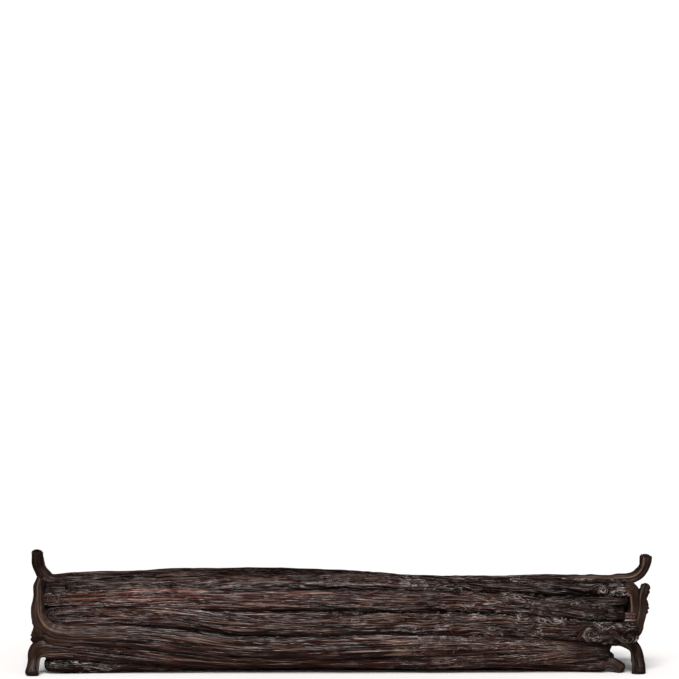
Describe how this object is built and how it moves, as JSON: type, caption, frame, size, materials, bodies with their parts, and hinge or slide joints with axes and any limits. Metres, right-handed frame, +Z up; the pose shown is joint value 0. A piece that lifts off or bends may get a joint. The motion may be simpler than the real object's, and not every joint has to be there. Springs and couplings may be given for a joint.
{
  "type": "bundle of vanilla pods",
  "caption": "Bundle of long, dark, wrinkled cured vanilla pods lying side by side, with thin hooked stems and blunt tips mixed at both ends.",
  "frame": {"origin": "on the table, under the middle of the bundle's box", "axes": "+X along the pods, +Z up, -Y towards the front of the bundle"},
  "size_m": [0.1754, 0.0346, 0.0334],
  "materials": {
    "cured_pod_skin": "oily, wrinkled, dark brown"
  },
  "bodies": {
    "root": {"vanilla_pods": "cured_pod_skin"}
  },
  "joints": []
}
